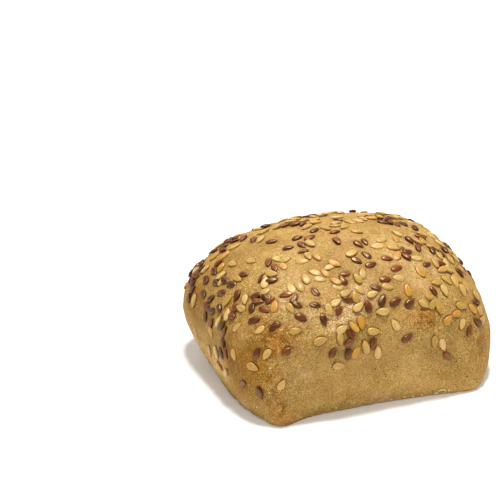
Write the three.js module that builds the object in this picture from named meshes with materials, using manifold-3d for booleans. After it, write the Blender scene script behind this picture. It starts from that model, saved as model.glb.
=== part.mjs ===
// A square seeded bread roll, baked free on a tray and scattered with brown linseed and pale seeds.
// Millimetres, +Z up. The origin is in the middle of the flat underside, X runs along the longer side.
// The crust is one closed surface in an angle around the roll and a level from the underside (0) to the
// crown (1). The seeds are low lens-shaped solids pressed into the crust and joined with it.
import * as THREE from "three";
import { mergeVertices } from "three/addons/utils/BufferGeometryUtils.js";
import Module from "manifold-3d";

// Driving dimensions of the roll.
const LENGTH = 96;
const WIDTH = 80;
const HEIGHT = 49.8;
const WIDEST_HEIGHT = 0.335 * HEIGHT;
const BOTTOM_EDGE = 0.6;

// Share of the level that is side wall. The rest is the dome above the widest line.
const WALL_SHARE = 0.3;

// How square the outline is at the underside, at the widest line and at the crown: 2 is an ellipse.
const SQUARENESS = { base: 3.43, widest: 4.5, crown: 2.25 };
const DOME_POWERS = { inward: 2.07, upward: 2.31 };

// The sides and corners in order round the roll, from +X. Tuck is how far the wall draws in at the
// underside and swell how far it stands out, both as shares of the radius.
const SIDES = [
  { tuck: 0.021, swell: 0.023 },
  { tuck: 0.077, swell: 0.002 },
  { tuck: 0.058, swell: -0.004 },
  { tuck: 0.079, swell: -0.008 },
];
const CORNERS = [
  { tuck: 0.081, swell: -0.028 },
  { tuck: 0.16, swell: 0.019 },
  { tuck: 0.018, swell: -0.014 },
  { tuck: 0.095, swell: -0.031 },
];

// The foot of a corner is the point of dough that it pulls out along the tray: its reach, how far it is
// turned from the corner, and the angles over which it dies away before and after its own direction.
const FEET = [
  { reach: 1.2, turn: 0, before: 0.1, after: 0.1 },
  { reach: 1.0, turn: 0, before: 0.1, after: 0.1 },
  { reach: 8.8, turn: 0.09, before: 0.2, after: 0.07 },
  { reach: 11.2, turn: -0.165, before: 0.236, after: 0.5 },
];
const FOOT_ROUND = 0.05;
const FOOT_HEIGHT = 0.232 * HEIGHT;

// The crown sits a little towards -X and -Y of the underside, and the top leans up towards +X and +Y.
const BASE_SHIFT = [1.98, 0.97];
const LEAN = [0.015, 0.031];

// Brings the origin to the middle of the box round the roll.
const MIDDLE = [1.9, 0.4];

// Shallow swellings and dents where the dough pushed out: angle in degrees, level, height and spread.
const LUMPS = [
  { degrees: 226, level: 0.47, height: 0.7, spread: 12 },
  { degrees: 289, level: 0.46, height: 0.6, spread: 13 },
  { degrees: 262, level: 0.9, height: 0.6, spread: 12 },
  { degrees: 256, level: 0.58, height: -0.6, spread: 13 },
  { degrees: 20, level: 0.6, height: 0.6, spread: 14 },
  { degrees: 128, level: 0.56, height: 0.6, spread: 15 },
];

// Facets of the crust. Extra sectors are set round the two long feet, this many radians apart.
const SECTORS = 46;
const WALL_RINGS = 5;
const DOME_RINGS = 13;
const FOOT_SECTOR = 0.045;
const SHARP_FOOT = 5;

// Seeds: length, width and standing height, and the powers of the pointed and the blunt end.
const LINSEED = { length: 4.2, width: 2.3, rise: 0.75, tip: 0.85, blunt: 0.5 };
const PALE_SEED = { length: 4.5, width: 2.5, rise: 0.7, tip: 0.75, blunt: 0.5 };
const SEED_COUNT = 310;
const SEED_SINK = 0.25;
const SEED_KEEL = 0.9;

// Places along a seed, from -1 at the blunt end to 1 at the tip: the outline's two widths, the ends of the
// ridge and the keel.
const SEED_WIDTHS_AT = [0.3, -0.68];
const SEED_RIDGE_AT = [0.25, -0.5];
const SEED_KEEL_AT = -0.1;

// How unlike the seeds are: in size, in depth in the crust (mm) and in lean to one side (radians).
const SIZE_SPREAD = 0.1;
const PRESS_SPREAD = 0.08;
const HEEL_SPREAD = 0.13;

// How the seeds are spread: the levels between which they thicken from none to the usual density, the
// share of pale ones, how close neighbours come as a share of their half axes, and how many lie in pairs
// and how far apart (mm). The crown room keeps the turn round the crown from growing without end.
const SEED_LEVELS = [0.3, 0.55];
const LOWEST_DRAWN = 0.2;
const LOWEST_SEED = 0.15;
const HIGHEST_SEED = 0.99;
const USUAL_DENSITY = 0.5;
const PALE_SHARE = 0.56;
const CLEARANCE = 0.86;
const PAIRED_SHARE = 0.38;
const PAIR_GAP = [2.4, 4.2];
const FIRST_PAIR_AFTER = 20;
const CROWN_ROOM = 0.15;
const RANDOM_START = 14764;

// Crowded and bare places: angle in degrees, level, added density, spread and added share of pale seeds.
const PLACES = [
  [143, 0.5, 0.55, 9, -0.3],
  [176, 0.36, 0.35, 9, 0],
  [203, 0.27, 0.35, 8, 0],
  [226, 0.27, 0.3, 6, 0.1],
  [222, 0.62, 0.45, 8, -0.35],
  [240, 0.76, 0.45, 9, 0.3],
  [262, 0.37, 0.5, 5, -0.1],
  [300, 0.33, 0.4, 4, 0],
  [316, 0.44, 0.55, 8, 0.1],
  [300, 0.66, 0.3, 7, 0],
  [110, 0.92, 0.5, 9, 0.1],
  [10, 0.72, 0.35, 9, -0.1],
  [30, 0.36, 0.4, 8, 0],
  [95, 0.33, 0.35, 7, 0],
  [256, 0.89, -0.6, 6, 0],
  [230, 0.46, -0.6, 7, 0],
  [285, 0.43, -0.6, 8, 0],
  [190, 0.72, -0.35, 7, 0],
];

const wasm = await Module();
wasm.setup();

const clamp = (value, low, high) => Math.min(Math.max(value, low), high);
const QUARTER = Math.PI / 2;

// A repeatable random source: the same multiplier and modulus give the same roll every time.
function randomSource(start) {
  let state = start;
  return () => {
    state = (state * 48271) % 2147483647;
    return state / 2147483647;
  };
}

// Share of one side or corner at an angle, 1 in its middle and falling off by the power.
function nearness(angle, middle, power) {
  return Math.max(Math.cos(angle - middle), 0) ** power;
}

// Turn from one angle to another the short way round.
function turnBetween(angle, middle) {
  return Math.atan2(Math.sin(angle - middle), Math.cos(angle - middle));
}

// Radius of a rounded square with half sides of 1.
function squircle(angle, power) {
  const sum = Math.abs(Math.cos(angle)) ** power + Math.abs(Math.sin(angle)) ** power;
  return sum ** (-1 / power);
}

// The crust without its lumps: the outline at that height, drawn in by the tuck or the dome and pulled out
// by the feet.
function smoothCrust(angle, level) {
  const wallLevel = clamp(level / WALL_SHARE, 0, 1);
  const domeAngle = clamp((level - WALL_SHARE) / (1 - WALL_SHARE), 0, 1) * QUARTER;
  let swell = 1;
  let tuck = 0;
  let foot = 0;
  for (let i = 0; i < 4; i++) {
    const corner = (i + 0.5) * QUARTER;
    const byCorner = nearness(angle, corner, 8);
    swell += SIDES[i].swell * nearness(angle, i * QUARTER, 8) + CORNERS[i].swell * byCorner;
    tuck += SIDES[i].tuck * nearness(angle, i * QUARTER, 4) + CORNERS[i].tuck * byCorner;
    const turned = turnBetween(angle, corner + FEET[i].turn);
    const away = Math.hypot(turned, FOOT_ROUND) - FOOT_ROUND;
    foot += FEET[i].reach * Math.exp(-away / (turned < 0 ? FEET[i].before : FEET[i].after));
  }
  const onWall = level < WALL_SHARE;
  const inward = onWall
    ? 1 - tuck * (1 - wallLevel) ** 2
    : Math.max(Math.cos(domeAngle), 0) ** (2 / DOME_POWERS.inward);
  const height = onWall
    ? BOTTOM_EDGE + (WIDEST_HEIGHT - BOTTOM_EDGE) * wallLevel
    : WIDEST_HEIGHT + (HEIGHT - WIDEST_HEIGHT) * Math.sin(domeAngle) ** (2 / DOME_POWERS.upward);
  const rise = clamp((height - WIDEST_HEIGHT) / (HEIGHT - WIDEST_HEIGHT), 0, 1);
  const power = onWall
    ? THREE.MathUtils.lerp(SQUARENESS.base, SQUARENESS.widest, wallLevel)
    : THREE.MathUtils.lerp(SQUARENESS.widest, SQUARENESS.crown, rise);
  const radius = squircle(angle, power) * swell * inward;
  const reach = foot * Math.exp(-((height / FOOT_HEIGHT) ** 1.5));
  const shift = (1 - height / HEIGHT) ** 2;
  const x = ((LENGTH / 2) * radius + reach) * Math.cos(angle) + BASE_SHIFT[0] * shift;
  const y = ((WIDTH / 2) * radius + reach) * Math.sin(angle) + BASE_SHIFT[1] * shift;
  const tilt = 1 + (LEAN[0] * x) / (LENGTH / 2) + (LEAN[1] * y) / (WIDTH / 2);
  return new THREE.Vector3(x, y, height * tilt);
}

const radians = THREE.MathUtils.degToRad;
const lumpCentres = LUMPS.map((lump) => smoothCrust(radians(lump.degrees), lump.level));

// The crust with its lumps, which fade out towards the underside.
function crust(angle, level) {
  const point = smoothCrust(angle, level);
  let push = 0;
  LUMPS.forEach((lump, i) => {
    push += lump.height * Math.exp(-point.distanceToSquared(lumpCentres[i]) / lump.spread ** 2);
  });
  const outward = new THREE.Vector3(point.x, point.y, point.z - WIDEST_HEIGHT / 2).normalize();
  point.addScaledVector(outward, push * clamp(point.z / WIDEST_HEIGHT, 0, 1));
  return point.sub(new THREE.Vector3(MIDDLE[0], MIDDLE[1], 0));
}

// Direction straight out of the crust, from the points just beside and above.
function normalOf(angle, level) {
  const step = 0.004;
  const high = Math.min(level + step, 0.9999);
  const across = crust(angle + step, level).sub(crust(angle - step, level));
  const up = crust(angle, high).sub(crust(angle, level - step));
  return across.cross(up).normalize();
}

// Angles of the sectors: even, but for three set on each long foot.
function sectorAngles() {
  const tips = FEET.map((foot, i) => ({ reach: foot.reach, angle: (i + 0.5) * QUARTER + foot.turn }));
  const long = tips.filter((tip) => tip.reach > SHARP_FOOT);
  const angles = [];
  for (let i = 0; i < SECTORS; i++) {
    const angle = (i / SECTORS) * 2 * Math.PI;
    if (long.every((tip) => Math.abs(angle - tip.angle) > 2 * FOOT_SECTOR)) angles.push(angle);
  }
  for (const tip of long) angles.push(tip.angle - FOOT_SECTOR, tip.angle, tip.angle + FOOT_SECTOR);
  return angles.sort((a, b) => a - b);
}

// Levels of the rings, closer together at the underside and over the shoulder.
function ringLevels() {
  const levels = [];
  for (let i = 0; i < WALL_RINGS; i++) levels.push(WALL_SHARE * (i / WALL_RINGS) ** 1.4);
  for (let i = 0; i < DOME_RINGS; i++) levels.push(WALL_SHARE + (1 - WALL_SHARE) * (i / DOME_RINGS));
  return levels;
}

// Rings of points from the rounded bottom edge to the crown, closed by a flat underside.
function crustGeometry() {
  const points = [];
  const faces = [];
  const angles = sectorAngles();
  const levels = ringLevels();
  for (const angle of angles) {
    const rim = crust(angle, 0);
    const inset = 1 - BOTTOM_EDGE / Math.hypot(rim.x, rim.y);
    points.push(rim.x * inset, rim.y * inset, 0);
  }
  for (const level of levels) {
    for (const angle of angles) points.push(...crust(angle, level));
  }
  const sectors = angles.length;
  for (let r = 0; r < levels.length; r++) {
    for (let i = 0; i < sectors; i++) {
      const next = (i + 1) % sectors;
      const [a, b] = [r * sectors + i, r * sectors + next];
      const [c, d] = [a + sectors, b + sectors];
      faces.push(a, b, d, a, d, c);
    }
  }
  const crown = points.length / 3;
  points.push(...crust(0, 1), 0, 0, 0);
  for (let i = 0; i < sectors; i++) {
    const next = (i + 1) % sectors;
    faces.push(levels.length * sectors + i, levels.length * sectors + next, crown);
    faces.push(next, i, crown + 1);
  }
  return closedGeometry(points, faces);
}

function closedGeometry(points, faces) {
  const geometry = new THREE.BufferGeometry();
  geometry.setAttribute("position", new THREE.Float32BufferAttribute(points, 3));
  geometry.setIndex(faces);
  return geometry;
}

// Half width of a seed at u, from -1 at the blunt end to 1 at the tip.
function seedHalfWidth(kind, u) {
  const shape = (v) => (1 - v) ** kind.tip * (1 + v) ** kind.blunt;
  const widest = (kind.blunt - kind.tip) / (kind.blunt + kind.tip);
  return ((kind.width / 2) * shape(u)) / shape(widest);
}

// A seed lying along X: an outline of six points, a ridge of two above it and one keel point below.
function seedGeometry(kind) {
  const [half, sink, rise] = [kind.length / 2, -SEED_SINK, kind.rise];
  const [fore, aft] = SEED_WIDTHS_AT;
  const [foreWidth, aftWidth] = [seedHalfWidth(kind, fore), seedHalfWidth(kind, aft)];
  const points = [
    [half, 0, sink],
    [half * fore, foreWidth, sink],
    [half * aft, aftWidth, sink],
    [-half, 0, sink],
    [half * aft, -aftWidth, sink],
    [half * fore, -foreWidth, sink],
    [half * SEED_RIDGE_AT[0], 0, rise],
    [half * SEED_RIDGE_AT[1], 0, rise],
    [half * SEED_KEEL_AT, 0, -SEED_KEEL],
  ];
  const [front, back, keel] = [6, 7, 8];
  const faces = [0, 1, front, 1, back, front, 1, 2, back, 2, 3, back];
  faces.push(3, 4, back, 4, 5, back, 5, front, back, 5, 0, front);
  for (let i = 0; i < 6; i++) faces.push((i + 1) % 6, i, keel);
  return closedGeometry(points.flat(), faces);
}

const placeCentres = PLACES.map(([degrees, level]) => crust(radians(degrees), level));

// How thickly a point is seeded and how many of its seeds are pale.
function seedingAt(point, level) {
  let density = USUAL_DENSITY * THREE.MathUtils.smoothstep(level, SEED_LEVELS[0], SEED_LEVELS[1]);
  let paleShare = PALE_SHARE;
  PLACES.forEach(([, , added, spread, paler], i) => {
    const near = Math.exp(-point.distanceToSquared(placeCentres[i]) / spread ** 2);
    density += added * near;
    paleShare += paler * near;
  });
  return { density, paleShare };
}

// True if a seed at a point would lie mostly on another one.
function overlaps(placed, point, length, width) {
  return placed.some((other) => {
    const apart = point.clone().sub(other.point);
    if (apart.length() > length) return false;
    const along = apart.dot(other.along) / (0.5 * (length + other.size * other.kind.length));
    const across = apart.dot(other.across) / (0.5 * (width + other.size * other.kind.width));
    return Math.hypot(along, across) < CLEARANCE;
  });
}

// Places the seeds one after another: some anywhere by the density, some beside one that lies there.
function scatterSeeds() {
  const random = randomSource(RANDOM_START);
  const placed = [];
  while (placed.length < SEED_COUNT) {
    let angle = random() * 2 * Math.PI;
    let level = LOWEST_DRAWN + (1 - LOWEST_DRAWN) * random();
    const beside = placed.length > FIRST_PAIR_AFTER && random() < PAIRED_SHARE;
    const pick = random();
    const bearing = random() * 2 * Math.PI;
    const gap = PAIR_GAP[0] + (PAIR_GAP[1] - PAIR_GAP[0]) * random();
    if (beside) {
      const other = placed[Math.floor(pick * placed.length)];
      const round = (LENGTH / 2) * Math.max(Math.cos((other.level - WALL_SHARE) * QUARTER), CROWN_ROOM);
      angle = other.angle + (Math.cos(bearing) * gap) / round;
      level = other.level + (Math.sin(bearing) * gap) / LENGTH;
    }
    const turn = random() * 2 * Math.PI;
    const size = 1 + SIZE_SPREAD * (2 * random() - 1);
    const colourDraw = random();
    const chance = random();
    const press = PRESS_SPREAD * (2 * random() - 1);
    const heel = HEEL_SPREAD * (2 * random() - 1);
    if (level < LOWEST_SEED || level > HIGHEST_SEED) continue;
    const domeAngle = clamp((level - WALL_SHARE) / (1 - WALL_SHARE), 0, 1) * QUARTER;
    const room = beside ? 1 : Math.cos(domeAngle);
    const point = crust(angle, level);
    const { density, paleShare } = seedingAt(point, level);
    if (chance > room * clamp(density, 0, 1)) continue;
    const kind = colourDraw < paleShare ? PALE_SEED : LINSEED;
    if (overlaps(placed, point, size * kind.length, size * kind.width)) continue;
    const up = normalOf(angle, level);
    const side = new THREE.Vector3(-Math.sin(angle), Math.cos(angle), 0);
    const along = side.addScaledVector(up, -side.dot(up)).normalize().applyAxisAngle(up, turn);
    const across = up.clone().cross(along);
    placed.push({ angle, level, point, up, along, across, size, kind, press, heel });
  }
  return placed;
}

function solidFrom(geometry) {
  const bare = geometry.clone();
  bare.deleteAttribute("normal");
  bare.deleteAttribute("uv");
  const merged = mergeVertices(bare, 1e-5);
  return new wasm.Manifold(
    new wasm.Mesh({
      numProp: 3,
      vertProperties: merged.attributes.position.array,
      triVerts: new Uint32Array(merged.index.array),
    }),
  );
}

function geometryFrom(solid) {
  const mesh = solid.getMesh();
  return closedGeometry(Array.from(mesh.vertProperties), Array.from(mesh.triVerts));
}

// The crust with every seed joined to it, as one solid.
function seededRoll() {
  const shapes = new Map([LINSEED, PALE_SEED].map((kind) => [kind, seedGeometry(kind)]));
  let roll = solidFrom(crustGeometry());
  for (const seed of scatterSeeds()) {
    const across = seed.across.clone().applyAxisAngle(seed.along, seed.heel);
    const up = seed.up.clone().applyAxisAngle(seed.along, seed.heel);
    const place = new THREE.Matrix4().makeBasis(seed.along, across, up);
    place.scale(new THREE.Vector3(seed.size, seed.size, 1));
    place.setPosition(seed.point.clone().addScaledVector(seed.up, seed.press));
    roll = roll.add(solidFrom(shapes.get(seed.kind).clone().applyMatrix4(place)));
  }
  return geometryFrom(roll);
}

const crustMaterial = new THREE.MeshStandardMaterial({ color: 0xb48f58, roughness: 0.75, metalness: 0 });
const roll = new THREE.Mesh(seededRoll(), crustMaterial);
roll.name = "roll";

const breadRoll = new THREE.Group();
breadRoll.add(roll);

export default breadRoll;
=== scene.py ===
import math
import random
from functools import partial

import bpy
import numpy as np
from mathutils import Matrix, Vector, noise


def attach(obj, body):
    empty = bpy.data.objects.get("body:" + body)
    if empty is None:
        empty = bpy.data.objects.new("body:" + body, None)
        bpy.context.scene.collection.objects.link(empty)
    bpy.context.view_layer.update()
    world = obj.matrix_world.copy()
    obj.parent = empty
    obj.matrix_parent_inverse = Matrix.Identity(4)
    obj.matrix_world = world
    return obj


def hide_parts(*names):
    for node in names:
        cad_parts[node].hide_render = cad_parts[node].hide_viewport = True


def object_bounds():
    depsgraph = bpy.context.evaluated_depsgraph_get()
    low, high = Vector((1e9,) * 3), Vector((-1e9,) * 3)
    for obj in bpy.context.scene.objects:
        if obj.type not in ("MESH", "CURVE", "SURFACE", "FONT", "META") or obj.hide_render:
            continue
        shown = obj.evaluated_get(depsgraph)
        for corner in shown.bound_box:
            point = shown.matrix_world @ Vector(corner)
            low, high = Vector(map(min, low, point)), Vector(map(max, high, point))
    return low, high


# A square seeded bread roll, baked free on a tray. The crust is a surface of an angle round the roll and a
# level from the underside (0) to the crown (1), worked out in millimetres and turned to metres at the end.

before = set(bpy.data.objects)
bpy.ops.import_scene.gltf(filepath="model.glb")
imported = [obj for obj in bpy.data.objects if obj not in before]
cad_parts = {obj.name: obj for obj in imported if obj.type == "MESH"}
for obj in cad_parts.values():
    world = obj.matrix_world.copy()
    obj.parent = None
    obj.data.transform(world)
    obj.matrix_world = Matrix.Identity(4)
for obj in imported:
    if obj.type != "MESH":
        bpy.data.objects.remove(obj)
cadLow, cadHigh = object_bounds()

mm = 0.001
boxLow, boxHigh = np.array(cadLow) / mm, np.array(cadHigh) / mm
quarter = math.pi / 2


def linearColour(hexColour):
    # sRGB hex to the linear colour that shaders take
    channels = [int(hexColour[i:i + 2], 16) / 255 for i in (1, 3, 5)]
    return [c / 12.92 if c <= 0.04045 else ((c + 0.055) / 1.055) ** 2.4 for c in channels] + [1]


def addNode(tree, kind, inputs=None, output=0, **settings):
    # adds a node with its settings and gives back one of its outputs; of its inputs, which go by name or
    # by number, a socket is linked, a hex colour is made linear, and any other value is set as it is
    node = tree.nodes.new("ShaderNode" + kind)
    for name, value in settings.items():
        setattr(node, name, value)
    for name, value in (inputs or {}).items():
        if isinstance(value, bpy.types.NodeSocket):
            tree.links.new(value, node.inputs[name])
        else:
            node.inputs[name].default_value = linearColour(value) if isinstance(value, str) else value
    return node.outputs[output]


def addObject(name, data):
    added = bpy.data.objects.new(name, data)
    bpy.context.scene.collection.objects.link(added)
    return added


def addMesh(name, points, faces, material):
    mesh = bpy.data.meshes.new(name)
    mesh.from_pydata(points, [], faces)
    mesh.materials.append(material)
    return addObject(name, mesh)


def newMaterial(name, makeShader):
    # the shader comes from a function that is given addNode for this material's tree
    material = bpy.data.materials.new(name)
    material.use_nodes = True
    tree = material.node_tree
    tree.nodes.clear()
    output = tree.nodes.new("ShaderNodeOutputMaterial")
    tree.links.new(makeShader(partial(addNode, tree)), output.inputs["Surface"])
    return material


# The form of the crust

crustForm = {
    "length": 96,
    "width": 80,
    "height": 49.8,
    "widestHeight": 0.335,  # share of the height
    "bottomEdge": 0.6,
    "wallShare": 0.3,  # share of the level that is side wall
    "squareness": (3.43, 4.5, 2.25),  # at the underside, the widest line and the crown; 2 is an ellipse
    "domePowers": (2.07, 2.31),  # inward and upward
    # how far the sides and corners swell, and how far they draw in at the underside, from +X round
    "sideSwell": (0.023, 0.002, -0.004, -0.008),
    "sideTuck": (0.021, 0.077, 0.058, 0.079),
    "cornerSwell": (-0.028, 0.019, -0.014, -0.031),
    "cornerTuck": (0.081, 0.16, 0.018, 0.095),
    "narrow": 8,  # powers of the cosine that they fade by round the roll; the sides' tuck is broad
    "broad": 4,
    # the points of dough that the corners pull out along the tray: reach, turn, fall before and after
    "feet": ((1.2, 0, 0.1, 0.1), (1.0, 0, 0.1, 0.1), (8.8, 0.09, 0.2, 0.07), (11.2, -0.165, 0.236, 0.5)),
    "footRound": 0.05,
    "footHeight": 0.232,  # share of the height
    "footFade": 1.5,
    "baseShift": (1.98, 0.97),
    "lean": (0.015, 0.031),
    "middle": (1.9, 0.4),
    "normalStep": 0.004,  # in angle and level, between the points that its directions are taken from
}

# shallow swellings and dents: angle in degrees, level, height and spread
lumps = (
    (226, 0.47, 0.7, 12), (289, 0.46, 0.6, 13), (262, 0.9, 0.6, 12), (256, 0.58, -0.6, 13),
    (20, 0.6, 0.6, 14), (128, 0.56, 0.6, 15),
)

wallShare = crustForm["wallShare"]
rollHeight = crustForm["height"]
widestHeight = crustForm["widestHeight"] * rollHeight


def nearness(angle, middle, power):
    return np.maximum(np.cos(angle - middle), 0) ** power


def domeAngleAt(level):
    return np.clip((level - wallShare) / (1 - wallShare), 0, 1) * quarter


def smoothCrust(angle, level):
    # the crust without its lumps: the outline at that height, drawn in by the tuck or the dome
    f = crustForm
    wallLevel = np.clip(level / wallShare, 0, 1)
    domeAngle = domeAngleAt(level)
    swell, tuck, foot = 1.0, 0.0, 0.0
    for i in range(4):
        side, corner = i * quarter, (i + 0.5) * quarter
        bySide, byCorner = nearness(angle, side, f["narrow"]), nearness(angle, corner, f["narrow"])
        swell = swell + f["sideSwell"][i] * bySide + f["cornerSwell"][i] * byCorner
        tuck = tuck + f["sideTuck"][i] * nearness(angle, side, f["broad"]) + f["cornerTuck"][i] * byCorner
        reach, turn, before, after = f["feet"][i]
        turned = np.arctan2(np.sin(angle - corner - turn), np.cos(angle - corner - turn))
        away = np.hypot(turned, f["footRound"]) - f["footRound"]
        foot = foot + reach * np.exp(-away / np.where(turned < 0, before, after))
    onWall = level < wallShare
    dome = np.maximum(np.cos(domeAngle), 0) ** (2 / f["domePowers"][0])
    inward = np.where(onWall, 1 - tuck * (1 - wallLevel) ** 2, dome)
    wallHeight = f["bottomEdge"] + (widestHeight - f["bottomEdge"]) * wallLevel
    domeHeight = widestHeight + (rollHeight - widestHeight) * np.sin(domeAngle) ** (2 / f["domePowers"][1])
    height = np.where(onWall, wallHeight, domeHeight)
    rise = np.clip((height - widestHeight) / (rollHeight - widestHeight), 0, 1)
    base, widest, crown = f["squareness"]
    power = np.where(onWall, base + (widest - base) * wallLevel, widest + (crown - widest) * rise)
    square = (np.abs(np.cos(angle)) ** power + np.abs(np.sin(angle)) ** power) ** (-1 / power)
    radius = square * swell * inward
    reached = foot * np.exp(-(height / (f["footHeight"] * rollHeight)) ** f["footFade"])
    shift = (1 - height / rollHeight) ** 2
    x = (f["length"] / 2 * radius + reached) * np.cos(angle) + f["baseShift"][0] * shift
    y = (f["width"] / 2 * radius + reached) * np.sin(angle) + f["baseShift"][1] * shift
    tilt = 1 + f["lean"][0] * x / (f["length"] / 2) + f["lean"][1] * y / (f["width"] / 2)
    return np.stack([x, y, height * tilt], -1)


lumpCentres = [smoothCrust(math.radians(lump[0]), lump[1]) for lump in lumps]


def fading(points, centre, spread):
    # 1 at the centre, and less the further a point lies from it
    return np.exp(-((points - centre) ** 2).sum(-1) / spread ** 2)


def crust(angle, level):
    # the crust with its lumps, which fade out towards the underside
    point = smoothCrust(angle, level)
    push = 0.0
    for (*_, height, spread), centre in zip(lumps, lumpCentres):
        push = push + height * fading(point, centre, spread)
    outward = point - np.array([0, 0, widestHeight / 2])
    outward = outward / np.linalg.norm(outward, axis=-1, keepdims=True)
    push = push * np.clip(point[..., 2] / widestHeight, 0, 1)
    return point + outward * push[..., None] - np.array([*crustForm["middle"], 0])


def crustNormal(angle, level):
    # straight out of the crust, from the points beside, above and below; the crown itself has none above
    step, crownLevel = crustForm["normalStep"], 0.9999
    across = crust(angle + step, level) - crust(angle - step, level)
    up = crust(angle, np.minimum(level + step, crownLevel)) - crust(angle, level - step)
    normal = np.cross(across, up)
    return normal / np.linalg.norm(normal, axis=-1, keepdims=True)


def placeOn(angle, level, turn):
    # where something lies on the crust: its point, and the directions along it, across it and out
    out = crustNormal(angle, level)
    side = np.array([-math.sin(angle), math.cos(angle), 0])
    side = side - out * float(side @ out)
    side = side / np.linalg.norm(side)
    along = side * math.cos(turn) + np.cross(out, side) * math.sin(turn)
    return crust(angle, level), along, np.cross(out, along), out


# The seeds: where each one lies. They are the ones of the solid model, drawn in the same order.

linseed = {
    "length": 4.2,
    "width": 2.3,
    "rise": 0.92,  # height of its top over the crust
    "tip": 0.85,  # powers of the outline at the tip and at the blunt end
    "blunt": 0.5,
    "belly": 0.75,  # depth of its underside below the widest line
    "midHeight": 0.38,  # height of the widest line over the crust
    "boxiness": 1.0,  # 1 is a round cross-section, less is squarer
    "dent": 0.15,  # deepest hollow along its middle
    "wrinkle": 0.24,  # height of the lengthwise wrinkles
}
paleSeed = {
    "length": 4.5, "width": 2.5, "rise": 0.86, "tip": 0.75, "blunt": 0.5, "belly": 0.7, "midHeight": 0.34,
    "boxiness": 0.74, "dent": 0.16, "wrinkle": 0.05,
}
seedRule = {
    "count": 310,
    "start": 14764,
    "sizeSpread": 0.1,
    "pressSpread": 0.08,
    "heelSpread": 0.13,
    "levels": (0.3, 0.55),  # the seeds thicken from none to the usual density between these
    "lowestDrawn": 0.2,
    "lowest": 0.15,
    "highest": 0.99,
    "density": 0.5,
    "paleShare": 0.56,
    "clearance": 0.86,
    "pairedShare": 0.38,
    "pairGap": (2.4, 4.2),
    "firstPairAfter": 20,
    "crownRoom": 0.15,
    "leanFrom": 1.1,  # how near two seeds are, by their outlines, when one starts to lean on the other
    "leanOver": 0.24,  # how much nearer they are when it leans fully
    "leanLift": 0.3,  # how far it is raised then, and how far it is turned
    "leanTurn": 0.24,
}

# crowded and bare places: degrees, level, added density, spread, added share of pale seeds
seedPlaces = (
    (143, 0.5, 0.55, 9, -0.3), (176, 0.36, 0.35, 9, 0), (203, 0.27, 0.35, 8, 0), (226, 0.27, 0.3, 6, 0.1),
    (222, 0.62, 0.45, 8, -0.35), (240, 0.76, 0.45, 9, 0.3), (262, 0.37, 0.5, 5, -0.1), (300, 0.33, 0.4, 4, 0),
    (316, 0.44, 0.55, 8, 0.1), (300, 0.66, 0.3, 7, 0), (110, 0.92, 0.5, 9, 0.1), (10, 0.72, 0.35, 9, -0.1),
    (30, 0.36, 0.4, 8, 0), (95, 0.33, 0.35, 7, 0), (256, 0.89, -0.6, 6, 0), (230, 0.46, -0.6, 7, 0),
    (285, 0.43, -0.6, 8, 0), (190, 0.72, -0.35, 7, 0),
)
placeCentres = [crust(math.radians(place[0]), place[1]) for place in seedPlaces]

# seeds beyond the solid model's, which has few triangles: degrees, level and turn in degrees of the ones on
# the sides that the photo shows, and how many are drawn on the far sides, from which angle and how far on
moreLinseeds = (
    (296, 0.28, 310), (221, 0.4, 70), (282, 0.67, 340), (202, 0.33, 300), (249, 0.39, 50), (287, 0.54, 20),
    (281, 0.39, 20), (199, 0.36, 320), (223, 0.21, 290), (232, 0.42, 40), (174, 0.88, 90), (193, 0.74, 320),
    (296, 0.87, 250), (245, 0.54, 290), (295, 0.76, 320), (275, 0.58, 50), (166, 0.46, 0), (217, 0.57, 350),
    (162, 0.8, 80), (270, 0.79, 310), (186, 0.47, 340), (10, 0.82, 220), (141, 0.62, 110),
)
morePaleSeeds = (
    (220, 0.34, 350), (136, 0.76, 140), (251, 0.33, 350), (262, 0.5, 270), (293, 0.52, 300), (225, 0.4, 240),
    (209, 0.35, 310), (244, 0.45, 20), (292, 0.35, 260), (313, 0.57, 280), (234, 0.5, 20), (295, 0.33, 280),
    (324, 0.93, 280), (316, 0.84, 330), (269, 0.83, 20), (184, 0.35, 310), (267, 0.45, 350), (311, 0.79, 300),
    (177, 0.7, 30), (273, 0.53, 170), (148, 0.67, 100), (160, 0.4, 280), (201, 0.21, 60), (167, 0.64, 30),
    (322, 0.44, 230), (196, 0.77, 0),
)
farSeeds = {"count": 34, "start": 5003, "from": 338, "round": 172}


def drawSource(start):
    # the repeatable draws from 0 to 1 that the solid model's seeds were placed with
    factor, limit, state = 48271, 2147483647, start
    while True:
        state = state * factor % limit
        yield state / limit


def seedingAt(point, level):
    # how thickly a point is seeded and how many of its seeds are pale
    low, high = seedRule["levels"]
    t = min(max((level - low) / (high - low), 0), 1)
    density = seedRule["density"] * t * t * (3 - 2 * t)
    paleShare = seedRule["paleShare"]
    for (*_, added, spread, paler), centre in zip(seedPlaces, placeCentres):
        near = fading(point, centre, spread)
        density += added * near
        paleShare += paler * near
    return min(max(density, 0), 1), paleShare


def seedAt(angle, level, turn, size, kind, press=0, heel=0):
    point, along, across, up = placeOn(angle, level, turn)
    return {
        "angle": angle, "level": level, "point": point, "along": along, "across": across, "up": up,
        "kind": kind, "size": size, "length": size * kind["length"], "width": size * kind["width"],
        "press": press, "heel": heel, "lift": 0.0, "roll": Matrix.Identity(3),
    }


def seedsApart(seed, other):
    # how far apart two seeds lie by their outlines, which touch at about 1
    apart = seed["point"] - other["point"]
    if math.sqrt(float(apart @ apart)) > seed["length"]:
        return math.inf
    along = float(apart @ other["along"]) / (0.5 * (seed["length"] + other["length"]))
    across = float(apart @ other["across"]) / (0.5 * (seed["width"] + other["width"]))
    return math.hypot(along, across)


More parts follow.
